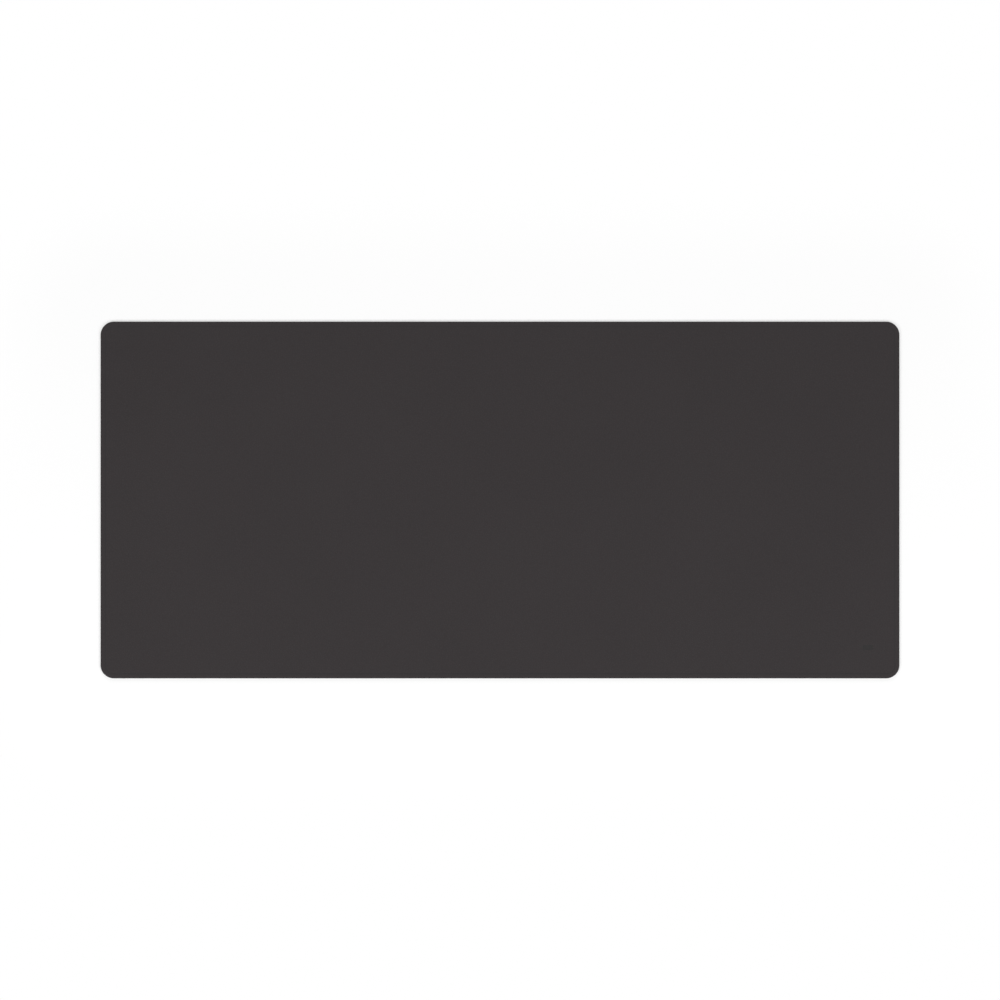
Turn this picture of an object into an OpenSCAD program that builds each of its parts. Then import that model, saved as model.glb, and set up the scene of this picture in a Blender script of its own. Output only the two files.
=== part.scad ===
// Desk mat: six layers, cut to one outline and bonded into a flexible sheet, with a coat round the cut edge.
// It lies on a desk with its underside at z = 0. +X runs along the mat to the right, +Y to the back of
// the desk and +Z up. The origin is the centre of the underside.

/* [Mat] */
// Length from left to right, over the edge coat
mat_length = 900; // [600:10:1200]
// Depth from front to back, over the edge coat
mat_depth = 402; // [300:2:600]
// Radius of the four corners, at the outside of the edge coat
corner_r = 15; // [8:1:60]

/* [Layers, from the desk up] */
// Thickness of the suede base sheet, which grips the desk
base_t = 0.7; // [0.4:0.1:2]
// Thickness of each of the two hot-melt bond films
film_t = 0.1; // [0.05:0.05:0.2]
// Thickness of the felt core
core_t = 0.8; // [0.5:0.1:3]
// Thickness of the knitted cloth that backs the skin
backing_t = 0.4; // [0.3:0.1:0.8]
// Thickness of the grained skin
skin_t = 0.4; // [0.3:0.05:0.8]

/* [Edge coat] */
// How far the coat stands out from the cut edge, halfway up
coat_rise = 0.3; // [0.15:0.05:0.5]
// Height of cut edge left bare below the coat and above it
coat_gap = 0.15; // [0.1:0.05:0.3]

/* [Pressed crease] */
// Distance from the cut edge to the middle of the crease
crease_inset = 5.2; // [3:0.1:7]
// Width of the crease
crease_w = 0.8; // [0.5:0.1:1.5]
// Depth of the crease
crease_depth = 0.15; // [0.1:0.05:0.2]

/* [Pressed mark, left blank] */
// Length of the recess
mark_l = 12; // [8:1:30]
// Width of the recess, front to back
mark_w = 6; // [4:0.5:10]
// Corner radius of the recess
mark_r = 1.2; // [0.5:0.1:1.5]
// Depth of the recess
mark_depth = 0.2; // [0.1:0.05:0.25]
// Distance from the middle of the recess to the mat's right side
mark_from_right = 36; // [25:1:80]
// Distance from the middle of the recess to the mat's front side
mark_from_front = 35; // [20:1:80]

/* [Hidden] */
$fn = 96;

// How far a cutter runs past the face that it cuts
cut_past = 1;

// The laminate is cut this size, and the coat then brings it to the overall size
cut_length = mat_length - 2 * coat_rise;
cut_depth = mat_depth - 2 * coat_rise;
cut_r = corner_r - coat_rise;

// The height of the underside of each layer
lower_film_z = base_t;
core_z = lower_film_z + film_t;
upper_film_z = core_z + core_t;
backing_z = upper_film_z + film_t;
skin_z = backing_z + backing_t;
top_z = skin_z + skin_t;

// The coat's outer face is an arc over the height that it covers
coat_h = top_z - 2 * coat_gap;
coat_arc_r = (coat_h * coat_h / 4 + coat_rise * coat_rise) / (2 * coat_rise);

// A rectangle with round corners, centred on the origin
module round_rectangle(length, width, radius) {
    square([length, width - 2 * radius], center = true);
    square([length - 2 * radius, width], center = true);
    for (x = [-1, 1], y = [-1, 1])
        translate([x * (length / 2 - radius), y * (width / 2 - radius)])
            circle(r = radius);
}

// The cut edge's outline, moved inwards
module outline(inset = 0) {
    round_rectangle(cut_length - 2 * inset, cut_depth - 2 * inset, cut_r - inset);
}

// One whole layer of the laminate
module layer(z, thickness) {
    translate([0, 0, z])
        linear_extrude(thickness)
            outline();
}

module base_sheet() {
    color([0.16, 0.16, 0.17])
        layer(0, base_t);
}

module lower_bond_film() {
    color([0.75, 0.72, 0.65])
        layer(lower_film_z, film_t);
}

module felt_core() {
    color([0.42, 0.42, 0.43])
        layer(core_z, core_t);
}

module upper_bond_film() {
    color([0.75, 0.72, 0.65])
        layer(upper_film_z, film_t);
}

module backing_cloth() {
    color([0.3, 0.29, 0.29])
        layer(backing_z, backing_t);
}

// The groove that the hot creasing tool leaves all round, just inside the edge
module crease_cutter() {
    translate([0, 0, top_z - crease_depth])
        linear_extrude(crease_depth + cut_past)
            difference() {
                outline(crease_inset - crease_w / 2);
                outline(crease_inset + crease_w / 2);
            }
}

// The shallow blank recess in the front right corner
module mark_cutter() {
    translate([mat_length / 2 - mark_from_right, mark_from_front - mat_depth / 2, top_z - mark_depth])
        linear_extrude(mark_depth + cut_past)
            round_rectangle(mark_l, mark_w, mark_r);
}

module leather_skin() {
    color([0.235, 0.222, 0.226])
        difference() {
            layer(skin_z, skin_t);
            crease_cutter();
            mark_cutter();
        }
}

// The coat's section: flat on the cut edge at x = 0, and round outside
module coat_profile() {
    cutter = 2 * coat_arc_r + 2 * cut_past;
    difference() {
        translate([coat_rise - coat_arc_r, top_z / 2])
            circle(r = coat_arc_r);
        translate([-cutter, (top_z - cutter) / 2])
            square(cutter);
    }
}

// The coat along one straight side, which lies reach from the centre
module coat_side(turn, reach, run) {
    rotate([0, 0, turn])
        translate([reach, run / 2, 0])
            rotate([90, 0, 0])
                linear_extrude(run)
                    coat_profile();
}

// The coat round one corner
module coat_corner(x, y, turn) {
    translate([x * (cut_length / 2 - cut_r), y * (cut_depth / 2 - cut_r), 0])
        rotate([0, 0, turn])
            rotate_extrude(angle = 90)
                translate([cut_r, 0])
                    coat_profile();
}

module edge_coat() {
    color([0.11, 0.105, 0.105]) {
        for (turn = [0, 180]) {
            coat_side(turn, cut_length / 2, cut_depth - 2 * cut_r);
            coat_side(turn + 90, cut_depth / 2, cut_length - 2 * cut_r);
        }
        coat_corner(1, 1, 0);
        coat_corner(-1, 1, 90);
        coat_corner(-1, -1, 180);
        coat_corner(1, -1, 270);
    }
}

base_sheet();
lower_bond_film();
felt_core();
upper_bond_film();
backing_cloth();
leather_skin();
edge_coat();
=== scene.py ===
import math

import bmesh
import bpy
from mathutils import Matrix, Vector, noise


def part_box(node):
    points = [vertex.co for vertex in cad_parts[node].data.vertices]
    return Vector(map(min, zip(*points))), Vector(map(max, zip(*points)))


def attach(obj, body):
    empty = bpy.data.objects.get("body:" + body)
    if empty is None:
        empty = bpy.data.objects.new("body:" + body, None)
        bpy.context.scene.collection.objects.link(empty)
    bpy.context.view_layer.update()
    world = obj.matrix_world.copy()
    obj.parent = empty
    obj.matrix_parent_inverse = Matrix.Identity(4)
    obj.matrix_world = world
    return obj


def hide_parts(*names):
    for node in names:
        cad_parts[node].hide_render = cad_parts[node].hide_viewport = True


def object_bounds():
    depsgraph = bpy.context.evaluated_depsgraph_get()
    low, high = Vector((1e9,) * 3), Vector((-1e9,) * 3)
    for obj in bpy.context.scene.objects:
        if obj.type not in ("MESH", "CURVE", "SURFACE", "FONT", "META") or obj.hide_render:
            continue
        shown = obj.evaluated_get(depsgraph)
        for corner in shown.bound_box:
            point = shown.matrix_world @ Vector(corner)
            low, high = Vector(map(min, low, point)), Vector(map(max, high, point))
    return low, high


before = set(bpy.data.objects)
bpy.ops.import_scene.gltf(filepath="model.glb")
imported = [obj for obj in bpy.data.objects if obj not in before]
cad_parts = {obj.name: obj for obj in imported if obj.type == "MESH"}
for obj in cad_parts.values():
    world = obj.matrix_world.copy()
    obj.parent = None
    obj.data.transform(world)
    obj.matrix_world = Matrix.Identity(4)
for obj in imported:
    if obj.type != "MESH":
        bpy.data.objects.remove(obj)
cad_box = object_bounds()

# ---------------------------------------------------------------------------------------------
# Base sheet. A microfibre suede, cut with the rest of the laminate by one steel-rule die. Its
# nap grips the desk, and handling has brushed it lighter and darker in patches.

MM = 0.001
SUEDE = (0.022, 0.021, 0.022)
SUEDE_BRUSHED = (0.058, 0.056, 0.057)
CORNER_OUTSIDE = 15 * MM
CORNER_STEPS = 16
GRID_PITCH = 20 * MM
SUEDE_RIM = 0.12 * MM
RIM_STEPS = 3
SHARP = math.radians(40)
BRUSHED_PATCH = 45 * MM
TUFT = 2.4 * MM
NAP_FIBRE = 0.6 * MM
NAP_RELIEF = 0.25 * MM
SMALLEST = 0.001 * MM


def faces_at(bm, z):
    """The level faces at one height."""
    return [f for f in bm.faces if all(abs(v.co.z - z) < SMALLEST for v in f.verts)]


def cut_sheet(low, high, corner):
    """A flat sheet with round corners, cut straight through."""
    bm = bmesh.new()
    bmesh.ops.create_cube(bm, size=1)
    bmesh.ops.scale(bm, vec=high - low, verts=bm.verts)
    bmesh.ops.translate(bm, vec=(low + high) / 2, verts=bm.verts)
    upright = [e for e in bm.edges if abs(e.verts[0].co.z - e.verts[1].co.z) > SMALLEST]
    bmesh.ops.bevel(
        bm, geom=upright, offset=corner, segments=CORNER_STEPS, affect="EDGES", profile=0.5, material=-1
    )
    return bm


def round_rim(bm, z, radius):
    """Rounds the rim of the level face at one height."""
    rim = [e for f in faces_at(bm, z) for e in f.edges]
    bmesh.ops.bevel(
        bm, geom=rim, offset=radius, segments=RIM_STEPS, affect="EDGES", profile=0.5, material=-1
    )


def cut_grid(bm, low, high, corner):
    """Cuts a sheet into even cells, from one corner's centre to the next."""
    for axis in range(2):
        first, last = low[axis] + corner, high[axis] - corner
        cells = round((last - first) / GRID_PITCH)
        normal = Vector((axis == 0, axis == 1, 0))
        for i in range(cells + 1):
            bmesh.ops.bisect_plane(
                bm,
                geom=bm.verts[:] + bm.edges[:] + bm.faces[:],
                dist=SMALLEST,
                plane_co=normal * (first + (last - first) * i / cells),
                plane_no=normal,
            )


def finished_piece(name, bm, material, node):
    """Makes a bmesh into a smooth piece that stands for a CAD node."""
    bmesh.ops.recalc_face_normals(bm, faces=bm.faces)
    for face in bm.faces:
        face.smooth = True
    for edge in bm.edges:
        edge.smooth = edge.calc_face_angle(0) < SHARP
    mesh = bpy.data.meshes.new(name)
    bm.to_mesh(mesh)
    bm.free()
    mesh.materials.append(material)
    piece = bpy.data.objects.new(name, mesh)
    bpy.context.scene.collection.objects.link(piece)
    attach(piece, "root")
    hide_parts(node)
    return piece


class Wire:
    """A socket's value. Arithmetic on it adds Math nodes to its node tree."""

    def __init__(self, nodes, socket):
        self.nodes = nodes
        self.socket = socket

    def math(self, operation, *values):
        return self.nodes.add("ShaderNodeMath", {"operation": operation}, dict(enumerate(values)))

    def __add__(self, other):
        return self.math("ADD", self, other)

    def __sub__(self, other):
        return self.math("SUBTRACT", self, other)

    def __rsub__(self, other):
        return self.math("SUBTRACT", other, self)

    def __mul__(self, other):
        return self.math("MULTIPLY", self, other)

    def __truediv__(self, other):
        return self.math("DIVIDE", self, other)

    def __abs__(self):
        return self.math("ABSOLUTE", self)

    __radd__ = __add__
    __rmul__ = __mul__

    def most(self, other):
        return self.math("MAXIMUM", self, other)

    def least(self, other):
        return self.math("MINIMUM", self, other)

    def bounce(self, top):
        """Runs up from 0 to top and down again, over and over."""
        return self.math("PINGPONG", self, top)

    def ramp(self, start, end):
        """0 below start and 1 past end, with a smooth run between them."""
        settings = {"interpolation_type": "SMOOTHSTEP"}
        inputs = {"Value": self, "From Min": start, "From Max": end}
        return self.nodes.add("ShaderNodeMapRange", settings, inputs)


class Nodes:
    """A node tree that is added to one node at a time."""

    def __init__(self, tree):
        self.tree = tree

    def add(self, kind, settings, inputs, output=0):
        """Adds a node, gives it its settings, then its inputs, and returns one of its outputs."""
        node = self.tree.nodes.new(kind)
        for name, value in settings.items():
            setattr(node, name, value)
        for key, value in inputs.items():
            socket = node.inputs[key]
            if isinstance(value, Wire):
                self.tree.links.new(value.socket, socket)
            else:
                socket.default_value = (*value, 1) if socket.type == "RGBA" else value
        return Wire(self, node.outputs[output])

    def link(self, wire, node, socket):
        """Links a value to a socket of a node that the tree began with."""
        self.tree.links.new(wire.socket, self.tree.nodes[node].inputs[socket])


class Finish(Nodes):
    """A material with a Principled shader, whose patterns read Object coordinates in metres."""

    def __init__(self, name, **constants):
        self.material = bpy.data.materials.new(name)
        self.material.use_nodes = True
        super().__init__(self.material.node_tree)
        for socket, value in constants.items():
            self.tree.nodes["Principled BSDF"].inputs[socket.replace("_", " ")].default_value = value
        self.place = self.add("ShaderNodeTexCoord", {}, {}, "Object")

    def axis(self, name):
        """One of the three Object coordinates."""
        return self.add("ShaderNodeSeparateXYZ", {}, {"Vector": self.place}, name)

    def noise(self, size, place=None, detail=2.0, **more):
        """Cloudy noise from 0 to 1, with clouds of one size."""
        inputs = {"Vector": place or self.place, "Scale": 1 / size, "Detail": detail, **more}
        return self.add("ShaderNodeTexNoise", {}, inputs, "Fac")

    def cells(self, size, place):
        """How far inside its irregular cell a place lies, with cells of one size."""
        inputs = {"Vector": place, "Scale": 1 / size}
        return self.add("ShaderNodeTexVoronoi", {"feature": "DISTANCE_TO_EDGE"}, inputs, "Distance")

    def turned(self, angle, scale):
        """Object coordinates turned about Z and then stretched."""
        inputs = {"Vector": self.place, "Rotation": (0, 0, angle), "Scale": scale}
        return self.add("ShaderNodeMapping", {"vector_type": "TEXTURE"}, inputs)

    def colours(self, share, first, second):
        """first where share is 0, and second where it is 1."""
        return self.add("ShaderNodeMix", {"data_type": "RGBA"}, {0: share, 6: first, 7: second}, 2)

    def finish(self, colour, roughness, height, relief):
        """Links what varies. relief is how many metres a height of 1 stands up."""
        normal = self.add("ShaderNodeBump", {}, {"Strength": 1.0, "Distance": relief, "Height": height})
        for name, wire in {"Base Color": colour, "Roughness": roughness, "Normal": normal}.items():
            self.link(wire, "Principled BSDF", name)
        return self.material


def suede():
    nap = Finish("suede_nap", Sheen_Weight=0.12, Sheen_Roughness=0.5, Specular_IOR_Level=0.1)
    sweep = nap.turned(0.5, (2.6, 1, 1))
    swept = nap.noise(BRUSHED_PATCH, sweep, detail=4.0, Distortion=0.8).ramp(0.44, 0.57)
    fibres = nap.noise(NAP_FIBRE, nap.turned(0.5, (3, 1, 1)), detail=3.0)
    tufts = nap.noise(TUFT, detail=2.0)
    share = swept * 0.45 + tufts.ramp(0.3, 0.7) * 0.25 + fibres.ramp(0.3, 0.7) * 0.3
    colour = nap.colours(share, SUEDE, SUEDE_BRUSHED)
    return nap.finish(colour, 0.9 + fibres * 0.1, fibres + tufts * 0.8, NAP_RELIEF)


coat_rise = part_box("edge_coat")[1].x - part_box("base_sheet")[1].x
corner = CORNER_OUTSIDE - coat_rise

low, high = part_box("base_sheet")
bm = cut_sheet(low, high, corner)
round_rim(bm, low.z, SUEDE_RIM)
cut_grid(bm, low, high, corner)
base_sheet = finished_piece("suede_base", bm, suede(), "base_sheet")

# ---------------------------------------------------------------------------------------------
# Bond films. Two hot-melt polyamide films, one under the felt core and one over it. The press
# melts them into the fibres on both sides, and they set cloudy with a slight orange peel.

FILM = (0.75, 0.72, 0.65)
FILM_THIN = (0.66, 0.64, 0.58)
CLOUD = 9 * MM
PEEL = 1.8 * MM
PEEL_RELIEF = 0.03 * MM


def hot_melt():
    film = Finish("hot_melt_film", Specular_IOR_Level=0.5)
    cloud = film.noise(CLOUD, detail=4.0)
    peel = film.noise(PEEL, detail=1.0)
    colour = film.colours(cloud.ramp(0.35, 0.65), FILM_THIN, FILM)
    return film.finish(colour, 0.4 + cloud * 0.15, peel, PEEL_RELIEF)


film_material = hot_melt()
for name in ("lower_bond_film", "upper_bond_film"):
    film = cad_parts[name]
    film.data.materials.clear()
    film.data.materials.append(film_material)

# ---------------------------------------------------------------------------------------------
# Felt core. Needle-punched polyester felt, a heather of dark and light fibres. It gives the mat
# its softness and keeps it flat. It is die-cut with the other layers.

FELT_DARK = (0.10, 0.10, 0.105)
FELT_LIGHT = (0.30, 0.30, 0.305)
FELT_FIBRE = 0.25 * MM
CLUMP = 5 * MM
FELT_RELIEF = 0.15 * MM


def heather_felt():
    felt = Finish("heather_felt", Sheen_Weight=0.3, Sheen_Roughness=0.5, Specular_IOR_Level=0.1)
    fibres = felt.noise(FELT_FIBRE, felt.turned(0.4, (14, 1, 1)), detail=2.0)
    for angle in (1.4, 2.5):
        fibres = fibres.most(felt.noise(FELT_FIBRE, felt.turned(angle, (14, 1, 1)), detail=2.0))
    clumps = felt.noise(CLUMP, detail=3.0)
    colour = felt.colours(fibres.ramp(0.5, 0.8) * 0.7 + clumps * 0.3, FELT_DARK, FELT_LIGHT)
    return felt.finish(colour, 0.92 + clumps * 0.08, fibres + clumps * 0.8, FELT_RELIEF)


low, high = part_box("felt_core")
bm = cut_sheet(low, high, corner)
cut_grid(bm, low, high, corner)
felt_core = finished_piece("felt_layer", bm, heather_felt(), "felt_core")

# ---------------------------------------------------------------------------------------------
# Backing cloth. A fine knitted polyester that the skin was cast on. Its columns of stitches run
# from front to back. It stops the skin from stretching.

YARN = (0.27, 0.26, 0.26)
# Painted shade: the colour between the strands stands for the shade in the gaps of the knit.
YARN_GAP_SHADE = (0.09, 0.088, 0.088)
COLUMN_PITCH = 1.1 * MM
ROW_PITCH = 0.8 * MM
HAIR = 0.3 * MM
KNIT_RELIEF = 0.12 * MM


def jersey():
    cloth = Finish("jersey_knit", Sheen_Weight=0.2, Sheen_Roughness=0.4, Specular_IOR_Level=0.2)
    across = (cloth.axis("X") / COLUMN_PITCH).bounce(0.5)
    along = (cloth.axis("Y") / ROW_PITCH - across * 1.2).bounce(0.5)
    strand = (across.ramp(0.0, 0.2) - across.ramp(0.32, 0.5)) * along.ramp(0.04, 0.3)
    hairs = cloth.noise(HAIR, detail=2.0)
    # Between the strands the colour is the painted shade of the gaps.
    colour = cloth.colours((strand * 0.8 + hairs * 0.3).least(1.0), YARN_GAP_SHADE, YARN)
    return cloth.finish(colour, 0.85 + hairs * 0.1, strand + hairs * 0.3, KNIT_RELIEF)


low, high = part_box("backing_cloth")
bm = cut_sheet(low, high, corner)
cut_grid(bm, low, high, corner)
backing_cloth = finished_piece("knit_backing", bm, jersey(), "backing_cloth")

# ---------------------------------------------------------------------------------------------
# Skin. Soft-touch polyurethane, cast on the backing and embossed with a fine leather grain. A
# hot creasing tool has pressed a line round it, and a hot stamp has left a blank mark.

SKIN = (0.0395, 0.0346, 0.0359)
# Painted shade: the grain's valleys are coloured darker than its tops, as the shade that falls in them.
SKIN_VALLEY_SHADE = (0.0300, 0.0262, 0.0272)
# Painted shade: the pressed crease and mark are coloured darker, as the shade in their hollows.
SKIN_PRESSED_SHADE = (0.0303, 0.0285, 0.0293)
SKIN_RIM = 0.12 * MM
BORDER_DROP = 0.05 * MM
CREASE_INSET = 5.2 * MM
CREASE_WIDTH = 1.5 * MM
CREASE_DEPTH = 0.15 * MM
CREASE_STEPS = 8
LEVEL_RING = 0.4 * MM
MARK = (12 * MM, 6 * MM)
MARK_CORNER = 1.2 * MM
MARK_DEPTH = 0.2 * MM
MARK_FROM_RIGHT = 36 * MM
MARK_FROM_FRONT = 35 * MM
MARK_RING = 0.1 * MM
MARK_WALL = 0.45 * MM
WALL_STEPS = 4
PEBBLE = 2.3 * MM
BEAD = 0.85 * MM
PORE = 0.3 * MM
SWELL = 14 * MM
DRIFT = 160 * MM
BEND = 5 * MM
BEND_SHIFT = 1.6 * MM
GRAIN_RELIEF = 0.07 * MM


def inset(bm, face, width, rise):
    """Moves a face's outline inwards, and the face up or down."""
    bmesh.ops.inset_region(bm, faces=[face], thickness=width, depth=rise, use_even_offset=True)


def face_under(bm, point):
    """The level face that a point lies on."""
    return next(f for f in faces_at(bm, point.z) if bmesh.geometry.intersect_face_point(f, point))


def press_crease(bm, top):
    """Presses a round-bottomed line into the top face, just inside its rim."""
    inset(bm, top, CREASE_INSET - CREASE_WIDTH / 2 - LEVEL_RING, BORDER_DROP)
    inset(bm, top, LEVEL_RING, 0)
    heights = [-CREASE_DEPTH * math.sin(math.pi * i / CREASE_STEPS) ** 2 for i in range(CREASE_STEPS + 1)]
    for before, after in zip(heights, heights[1:]):
        inset(bm, top, CREASE_WIDTH / CREASE_STEPS, after - before)
    inset(bm, top, LEVEL_RING, 0)


def press_mark(bm, centre):
    """Presses a blank rounded rectangle with soft walls into the level face round its centre."""
    half = Vector((MARK[0] / 2, MARK[1] / 2, 0))
    tangents = [(Vector((sx, 0, 0)), half.x * Vector((sx, 0, 0))) for sx in (-1, 1)]
    tangents += [(Vector((0, sy, 0)), half.y * Vector((0, sy, 0))) for sy in (-1, 1)]
    for sx in (-1, 1):
        for sy in (-1, 1):
            arc = Vector((sx * (half.x - MARK_CORNER), sy * (half.y - MARK_CORNER), 0))
            for turn in (22.5, 45, 67.5):
                angle = math.radians(turn)
                normal = Vector((sx * math.cos(angle), sy * math.sin(angle), 0))
                tangents.append((normal, arc + normal * MARK_CORNER))
    for normal, point in tangents:
        face = face_under(bm, centre)
        geom = [face, *face.edges, *face.verts]
        bmesh.ops.bisect_plane(bm, geom=geom, dist=SMALLEST, plane_co=centre + point, plane_no=normal)
    mark = face_under(bm, centre)
    inset(bm, mark, MARK_RING, 0)
    heights = [-MARK_DEPTH * math.sin(math.pi / 2 * i / WALL_STEPS) ** 2 for i in range(WALL_STEPS + 1)]
    for before, after in zip(heights, heights[1:]):
        inset(bm, mark, MARK_WALL / WALL_STEPS, after - before)
    inset(bm, mark, MARK_RING, 0)


def outline_distance(finish, x, y, half, radius):
    """How far a point lies inside a rectangle with round corners. It is negative outside."""
    over_x = abs(x) - (half[0] - radius)
    over_y = abs(y) - (half[1] - radius)
    square_sum = over_x.most(0.0) * over_x.most(0.0) + over_y.most(0.0) * over_y.most(0.0)
    outside = square_sum.math("SQRT", square_sum)
    return radius - outside - over_x.most(over_y).least(0.0)


def grained_skin(half, mark_centre):
    skin = Finish("grained_skin", Specular_IOR_Level=0.1)
    x = skin.axis("X")
    y = skin.axis("Y")
    crease = 1 - abs(outline_distance(skin, x, y, half, corner) - CREASE_INSET).ramp(0.2 * MM, 0.9 * MM)
    mark_half = (MARK[0] / 2, MARK[1] / 2)
    in_mark = outline_distance(skin, x - mark_centre.x, y - mark_centre.y, mark_half, MARK_CORNER)
    # Where the skin is pressed, its grain is flatter and its colour darker; the darker colour is painted
    # shade.
    pressed_and_shaded = crease.most(in_mark.ramp(0.0, 0.5 * MM))

    bend = skin.add("ShaderNodeTexNoise", {}, {"Vector": skin.place, "Scale": 1 / BEND}, "Color")
    shift = skin.add("ShaderNodeVectorMath", {"operation": "SCALE"}, {0: bend, "Scale": BEND_SHIFT})
    place = skin.add("ShaderNodeVectorMath", {"operation": "ADD"}, {0: skin.place, 1: shift})
    pebbles = skin.cells(PEBBLE, place).ramp(0.0, 0.3)
    beads = skin.cells(BEAD, place).ramp(0.0, 0.35)
    pores = skin.noise(PORE, detail=1.0)
    swell = skin.noise(SWELL, detail=2.0)
    grain = (pebbles * 0.6 + beads * 0.3 + pores * 0.15) * (1 - pressed_and_shaded * 0.6)
    drift = skin.noise(DRIFT, detail=3.0)
    # The grain's valleys take the darker colour, which is painted shade; drift is random tone.
    valley_shaded_skin = skin.colours(grain * 0.6 + drift * 0.5, SKIN_VALLEY_SHADE, SKIN)
    # Painted shade in the crease and the mark.
    colour = skin.colours(pressed_and_shaded, valley_shaded_skin, SKIN_PRESSED_SHADE)
    roughness = 0.62 - grain * 0.08 + drift * 0.04 - pressed_and_shaded * 0.04
    return skin.finish(colour, roughness, grain + swell * 1.5, GRAIN_RELIEF)


low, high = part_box("leather_skin")
mark_centre = Vector((high.x + coat_rise - MARK_FROM_RIGHT, low.y - coat_rise + MARK_FROM_FRONT, high.z))
cut_top = Vector((high.x, high.y, high.z - BORDER_DROP))
bm = cut_sheet(low, cut_top, corner)
round_rim(bm, cut_top.z, SKIN_RIM)
press_crease(bm, faces_at(bm, cut_top.z)[0])
press_mark(bm, mark_centre)
cut_grid(bm, low, high, corner)
skin_material = grained_skin((high.x, high.y), mark_centre)
skin = finished_piece("grained_skin", bm, skin_material, "leather_skin")

# ---------------------------------------------------------------------------------------------
# Edge coat. Acrylic edge paint, rolled on the cut edge in two passes and left to dry. It seals
# the layers, and it sets as a satin bead that is never quite even.

COAT = (0.020, 0.019, 0.019)
COAT_HIGH = (0.027, 0.026, 0.026)
ARC_STEPS = 10
SIDE_STEP = 6 * MM
MERGE = 0.005 * MM
UNEVEN = 0.05 * MM
WAVE = 9 * MM
LAYER_LINE = 0.07 * MM
STREAK = 3 * MM
SPECK = 0.5 * MM
PAINT_RELIEF = 0.04 * MM


def coat_section(low, high, cut_x):
    """The bead's section at the right side: round outside, and flat against the cut edge."""
    bm = bmesh.new()
    height = high.z - low.z
    radius = (height**2 / 4 + coat_rise**2) / (2 * coat_rise)
    reach = math.asin(height / 2 / radius)
    centre = Vector((cut_x + coat_rise - radius, 0, (low.z + high.z) / 2))
    start = bm.verts.new(centre + radius * Vector((math.cos(reach), 0, -math.sin(reach))))
    turn = 2 * reach
    arc = bmesh.ops.spin(bm, geom=[start], cent=centre, axis=(0, -1, 0), angle=turn, steps=ARC_STEPS)
    bmesh.ops.contextual_create(bm, geom=[start, *arc["geom_last"]])
    return bm


def sweep_round(bm, half, radius):
    """Sweeps the section along the four sides and round the four corners."""
    section = bm.edges[:]
    bmesh.ops.translate(bm, vec=(0, radius - half.y, 0), verts=bm.verts)
    for corner_turn in range(4):
        run = 2 * ((half.y, half.x)[corner_turn % 2] - radius)
        steps = round(run / SIDE_STEP)
        turn = Matrix.Rotation(corner_turn * math.pi / 2, 3, "Z")
        step = turn @ Vector((0, run / steps, 0))
        swept = bmesh.ops.spin(bm, geom=section, angle=0, steps=steps, dvec=step)
        across, along = (half.x, half.y) if corner_turn % 2 == 0 else (half.y, half.x)
        centre = turn @ Vector((across - radius, along - radius, 0))
        section = [g for g in swept["geom_last"] if isinstance(g, bmesh.types.BMEdge)]
        swept = bmesh.ops.spin(
            bm, geom=section, cent=centre, axis=(0, 0, 1), angle=math.pi / 2, steps=CORNER_STEPS
        )
        section = [g for g in swept["geom_last"] if isinstance(g, bmesh.types.BMEdge)]
    bmesh.ops.remove_doubles(bm, verts=bm.verts, dist=MERGE)


def thin_in_places(bm, half, radius):
    """Draws the bead's crown in by an uneven amount, as paint that was rolled on by hand."""
    for vert in bm.verts:
        inner = Vector(
            (
                max(radius - half.x, min(half.x - radius, vert.co.x)),
                max(radius - half.y, min(half.y - radius, vert.co.y)),
                vert.co.z,
            )
        )
        outwards = vert.co - inner
        share = (outwards.length - radius + coat_rise) / coat_rise
        dip = UNEVEN * share * (0.5 + 0.5 * noise.noise(vert.co / WAVE))
        vert.co -= outwards.normalized() * dip


def edge_paint(layer_lines):
    paint = Finish("edge_paint", Specular_IOR_Level=0.35)
    streaks = paint.noise(STREAK, paint.turned(0, (1, 1, 0.2)), detail=2.0)
    specks = paint.noise(SPECK, detail=2.0)
    lines = 0.0
    for height in layer_lines:
        lines = lines + (1 - abs(paint.axis("Z") - height).ramp(0.0, LAYER_LINE))
    colour = paint.colours(streaks.ramp(0.3, 0.75) - lines * 0.4, COAT, COAT_HIGH)
    relief = streaks + specks * 0.4 - lines * streaks * 1.2
    return paint.finish(colour, 0.38 + streaks * 0.16 + lines * 0.1, relief, PAINT_RELIEF)


low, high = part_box("edge_coat")
layer_lines = [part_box(name)[1].z for name in ("lower_bond_film", "upper_bond_film", "backing_cloth")]
bm = coat_section(low, high, high.x - coat_rise)
sweep_round(bm, high, CORNER_OUTSIDE)
thin_in_places(bm, high, CORNER_OUTSIDE)
edge_coat = finished_piece("painted_edge", bm, edge_paint(layer_lines), "edge_coat")

# ---------------------------------------------------------------------------------------------
# Floor. A plain white studio floor. Near the mat it takes its shadow, and further off it is
# evenly white.

WHITE = (1.0, 1.0, 1.0)
FLOOR_HALF = 8.0
FLOOR_GAP = 0.02 * MM
SHADOW_REACH = (30 * MM, 150 * MM)


def seen(nodes):
    """1 for what is seen directly, in a reflection or through glass, and 0 for what only sheds light."""
    rays = ("Camera", "Glossy", "Transmission")
    camera, glossy, glass = (nodes.add("ShaderNodeLightPath", {}, {}, f"Is {ray} Ray") for ray in rays)
    return camera.most(glossy).most(glass)


def white_floor(half):
    """Next to the mat, half of what is seen is the lit floor with its shadow. The rest is plain white."""
    floor = Finish("studio_floor")
    lit = floor.add("ShaderNodeBsdfDiffuse", {}, {"Color": WHITE})
    plain = floor.add("ShaderNodeEmission", {}, {"Color": WHITE, "Strength": 1.0})
    away = 0 - outline_distance(floor, floor.axis("X"), floor.axis("Y"), half, CORNER_OUTSIDE)
    share = (away.ramp(*SHADOW_REACH) * 0.5 + 0.5) * seen(floor)
    mixed = floor.add("ShaderNodeMixShader", {}, {0: share, 1: lit, 2: plain})
    floor.link(mixed, "Material Output", "Surface")
    return floor.material


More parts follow.
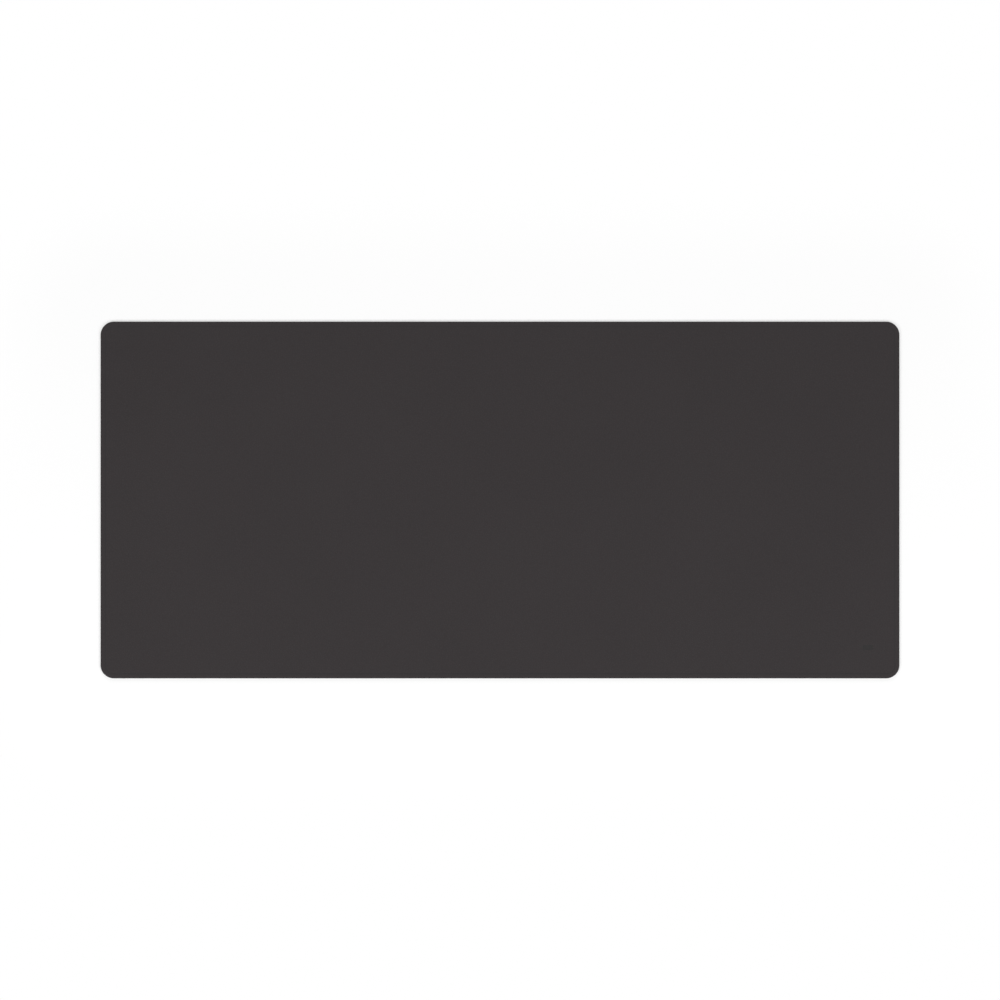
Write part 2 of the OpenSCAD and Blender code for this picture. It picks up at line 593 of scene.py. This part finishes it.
bm = bmesh.new()
bmesh.ops.create_grid(bm, x_segments=1, y_segments=1, size=FLOOR_HALF)
bmesh.ops.translate(bm, vec=(0, 0, -FLOOR_GAP), verts=bm.verts)
floor_mesh = bpy.data.meshes.new("floor")
bm.to_mesh(floor_mesh)
bm.free()
floor_mesh.materials.append(white_floor((high.x, high.y)))
floor = bpy.data.objects.new("floor", floor_mesh)
bpy.context.scene.collection.objects.link(floor)

# ---------------------------------------------------------------------------------------------
# Light. Three large softboxes off to the sides, and an even white room.

ROOM_LEVEL = 0.31
SOFTBOXES = {
    "softbox_left": ((-1.9, -1.7, 2.2), 1.6, 52),
    "softbox_right": ((1.9, -1.7, 2.2), 1.6, 52),
    "softbox_back": ((0.0, 3.2, 1.6), 2.0, 38),
}

world = bpy.data.worlds.new("white_room")
bpy.context.scene.world = world
world.use_nodes = True
room = Nodes(world.node_tree)
world.node_tree.nodes["Background"].inputs["Color"].default_value = (*WHITE, 1)
room.link(seen(room) * (1 - ROOM_LEVEL) + ROOM_LEVEL, "Background", "Strength")
for name, (place, size, power) in SOFTBOXES.items():
    lamp = bpy.data.lights.new(name, "AREA")
    lamp.shape = "SQUARE"
    lamp.size = size
    lamp.energy = power
    softbox = bpy.data.objects.new(name, lamp)
    softbox.location = place
    softbox.rotation_mode = "QUATERNION"
    softbox.rotation_quaternion = Vector(place).to_track_quat("Z", "Y")
    bpy.context.scene.collection.objects.link(softbox)

# ---------------------------------------------------------------------------------------------
# Camera. It looks straight down, with the back of the desk at the top of the picture.

LENS = 100
SENSOR = 36
MAT_SHARE = 0.7992

mat_low, mat_high = cad_box
view_width = (mat_high.x - mat_low.x) / MAT_SHARE
camera_data = bpy.data.cameras.new("overhead")
camera_data.lens = LENS
camera_data.sensor_width = SENSOR
camera = bpy.data.objects.new("overhead", camera_data)
camera.location = (0, 0, mat_high.z + view_width * LENS / SENSOR)
bpy.context.scene.collection.objects.link(camera)
bpy.context.scene.camera = camera
bpy.context.scene.view_settings.view_transform = "Standard"
